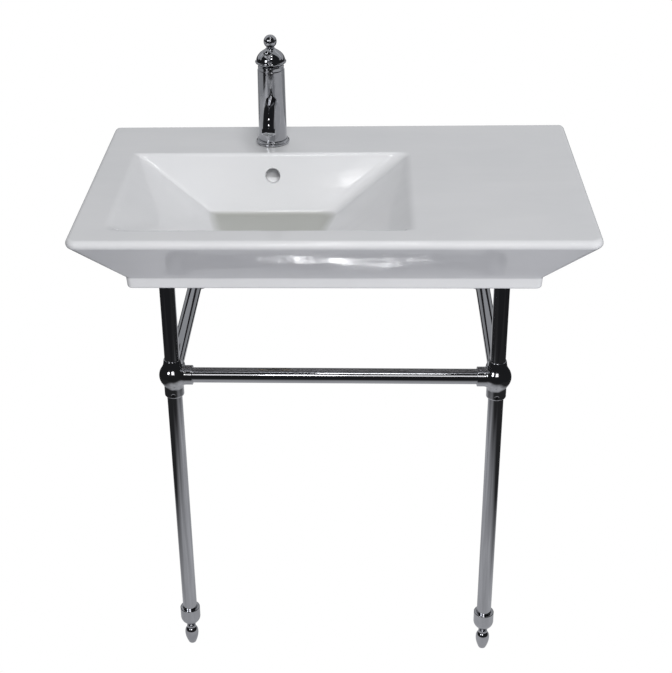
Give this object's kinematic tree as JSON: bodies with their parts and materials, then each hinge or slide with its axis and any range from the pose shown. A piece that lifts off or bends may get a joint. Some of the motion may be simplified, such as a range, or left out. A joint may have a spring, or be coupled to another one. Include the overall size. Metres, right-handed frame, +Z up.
{
  "type": "console sink with legs",
  "caption": "White glazed rectangular console basin with a faceted bowl and a flat side shelf, single-lever tap, and a chrome tube stand with turned feet, a front rail and wall arms.",
  "frame": {"origin": "floor level, at the centre of the outline seen from above", "axes": "+Z up, +X to the viewer's right when facing the sink, +Y towards the wall; the back is at y = +0.25"},
  "size_m": [0.8, 0.5, 1.0599],
  "materials": {
    "ceramic_glaze": "glossy white glaze",
    "polished_chrome": "mirror polish",
    "raw_brass": "satin",
    "steel": "zinc plated",
    "rubber": "matt",
    "plastic": "matt"
  },
  "bodies": {
    "console": {"aerator_insert": "plastic", "aerator_ring": "polished_chrome", "arm_left": "polished_chrome", "arm_right": "polished_chrome", "basin": "ceramic_glaze", "cartridge": "plastic", "cartridge_nut": "polished_chrome", "connector_left": "polished_chrome", "connector_right": "polished_chrome", "connector_screws_left": "steel", "connector_screws_right": "steel", "crossbar": "polished_chrome", "flange_set_screws": "steel", "foot_cup_left": "polished_chrome", "foot_cup_right": "polished_chrome", "inlet_tail_cold": "raw_brass", "inlet_tail_hot": "raw_brass", "leg_insert_left": "raw_brass", "leg_insert_right": "raw_brass", "leg_pad_left": "rubber", "leg_pad_right": "rubber", "leg_top_plate_left": "polished_chrome", "leg_top_plate_right": "polished_chrome", "lower_leg_left": "polished_chrome", "lower_leg_right": "polished_chrome", "plug_guide": "plastic", "spout": "polished_chrome", "tailpiece": "polished_chrome", "tap_base_ring": "polished_chrome", "tap_body": "polished_chrome", "tap_gasket": "rubber", "tap_nut": "steel", "tap_rubber_washer": "rubber", "tap_steel_washer": "steel", "tap_stud": "steel", "upper_leg_left": "polished_chrome", "upper_leg_right": "polished_chrome", "wall_flange_left": "polished_chrome", "wall_flange_right": "polished_chrome", "waste_body": "polished_chrome", "waste_lower_gasket": "rubber", "waste_nut": "raw_brass", "waste_top_gasket": "rubber", "waste_washer": "plastic"},
    "swivel": {"cartridge_rotor": "plastic", "pivot_pin": "steel"},
    "handle": {"cartridge_stem": "steel", "dome_cap": "polished_chrome", "finial": "polished_chrome", "lever": "polished_chrome", "lever_knob": "polished_chrome"},
    "plug": {"waste_plug": "polished_chrome", "plug_seal": "rubber"},
    "left_foot": {"levelling_foot_left": "polished_chrome"},
    "right_foot": {"levelling_foot_right": "polished_chrome"}
  },
  "joints": [
    {"name": "handle_swivel", "type": "hinge", "parent": "console", "child": "swivel", "pos_m": [-0.11, 0.168, 1.016], "axis": [0, 0, 1], "range_deg": [-45, 45]},
    {"name": "handle_lift", "type": "hinge", "parent": "swivel", "child": "handle", "pos_m": [-0.11, 0.168, 1.016], "axis": [-1, 0, 0], "range_deg": [0, 15]},
    {"name": "plug_lift", "type": "slide", "parent": "console", "child": "plug", "axis": [0, 0, 1], "range_m": [0, 0.008]},
    {"name": "left_foot_screw", "type": "slide", "parent": "console", "child": "left_foot", "axis": [0, 0, 1], "range_m": [-0.01, 0.004]},
    {"name": "right_foot_screw", "type": "slide", "parent": "console", "child": "right_foot", "axis": [0, 0, 1], "range_m": [-0.01, 0.004]}
  ]
}
